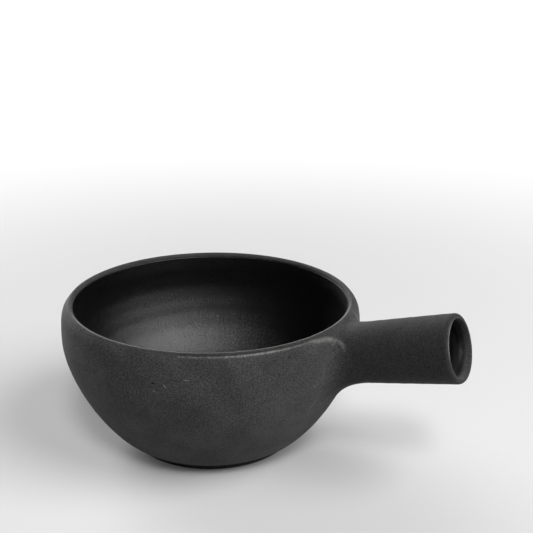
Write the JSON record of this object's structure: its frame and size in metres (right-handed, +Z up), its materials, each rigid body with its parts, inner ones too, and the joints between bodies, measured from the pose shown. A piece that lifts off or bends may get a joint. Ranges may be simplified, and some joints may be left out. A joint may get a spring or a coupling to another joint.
{
  "type": "single-handle stoneware pot",
  "caption": "Open round black stoneware cooking bowl with a drawn-in rounded lip, a low turned foot and one hollow open-ended side handle.",
  "frame": {"origin": "centre of the foot's flat underside, on the bowl's axis", "axes": "+Z up along the bowl's axis, +X along the handle and away from the bowl, +Y to the left of the handle"},
  "size_m": [0.211, 0.1524, 0.0886],
  "materials": {
    "stoneware": "dry matte, unglazed",
    "slip": "fired clay slip",
    "glaze": "satin"
  },
  "bodies": {
    "root": {"bowl": "stoneware", "handle": "stoneware", "luting_slip": "slip", "joint_coil": "stoneware", "liner_glaze": "glaze"}
  },
  "joints": []
}
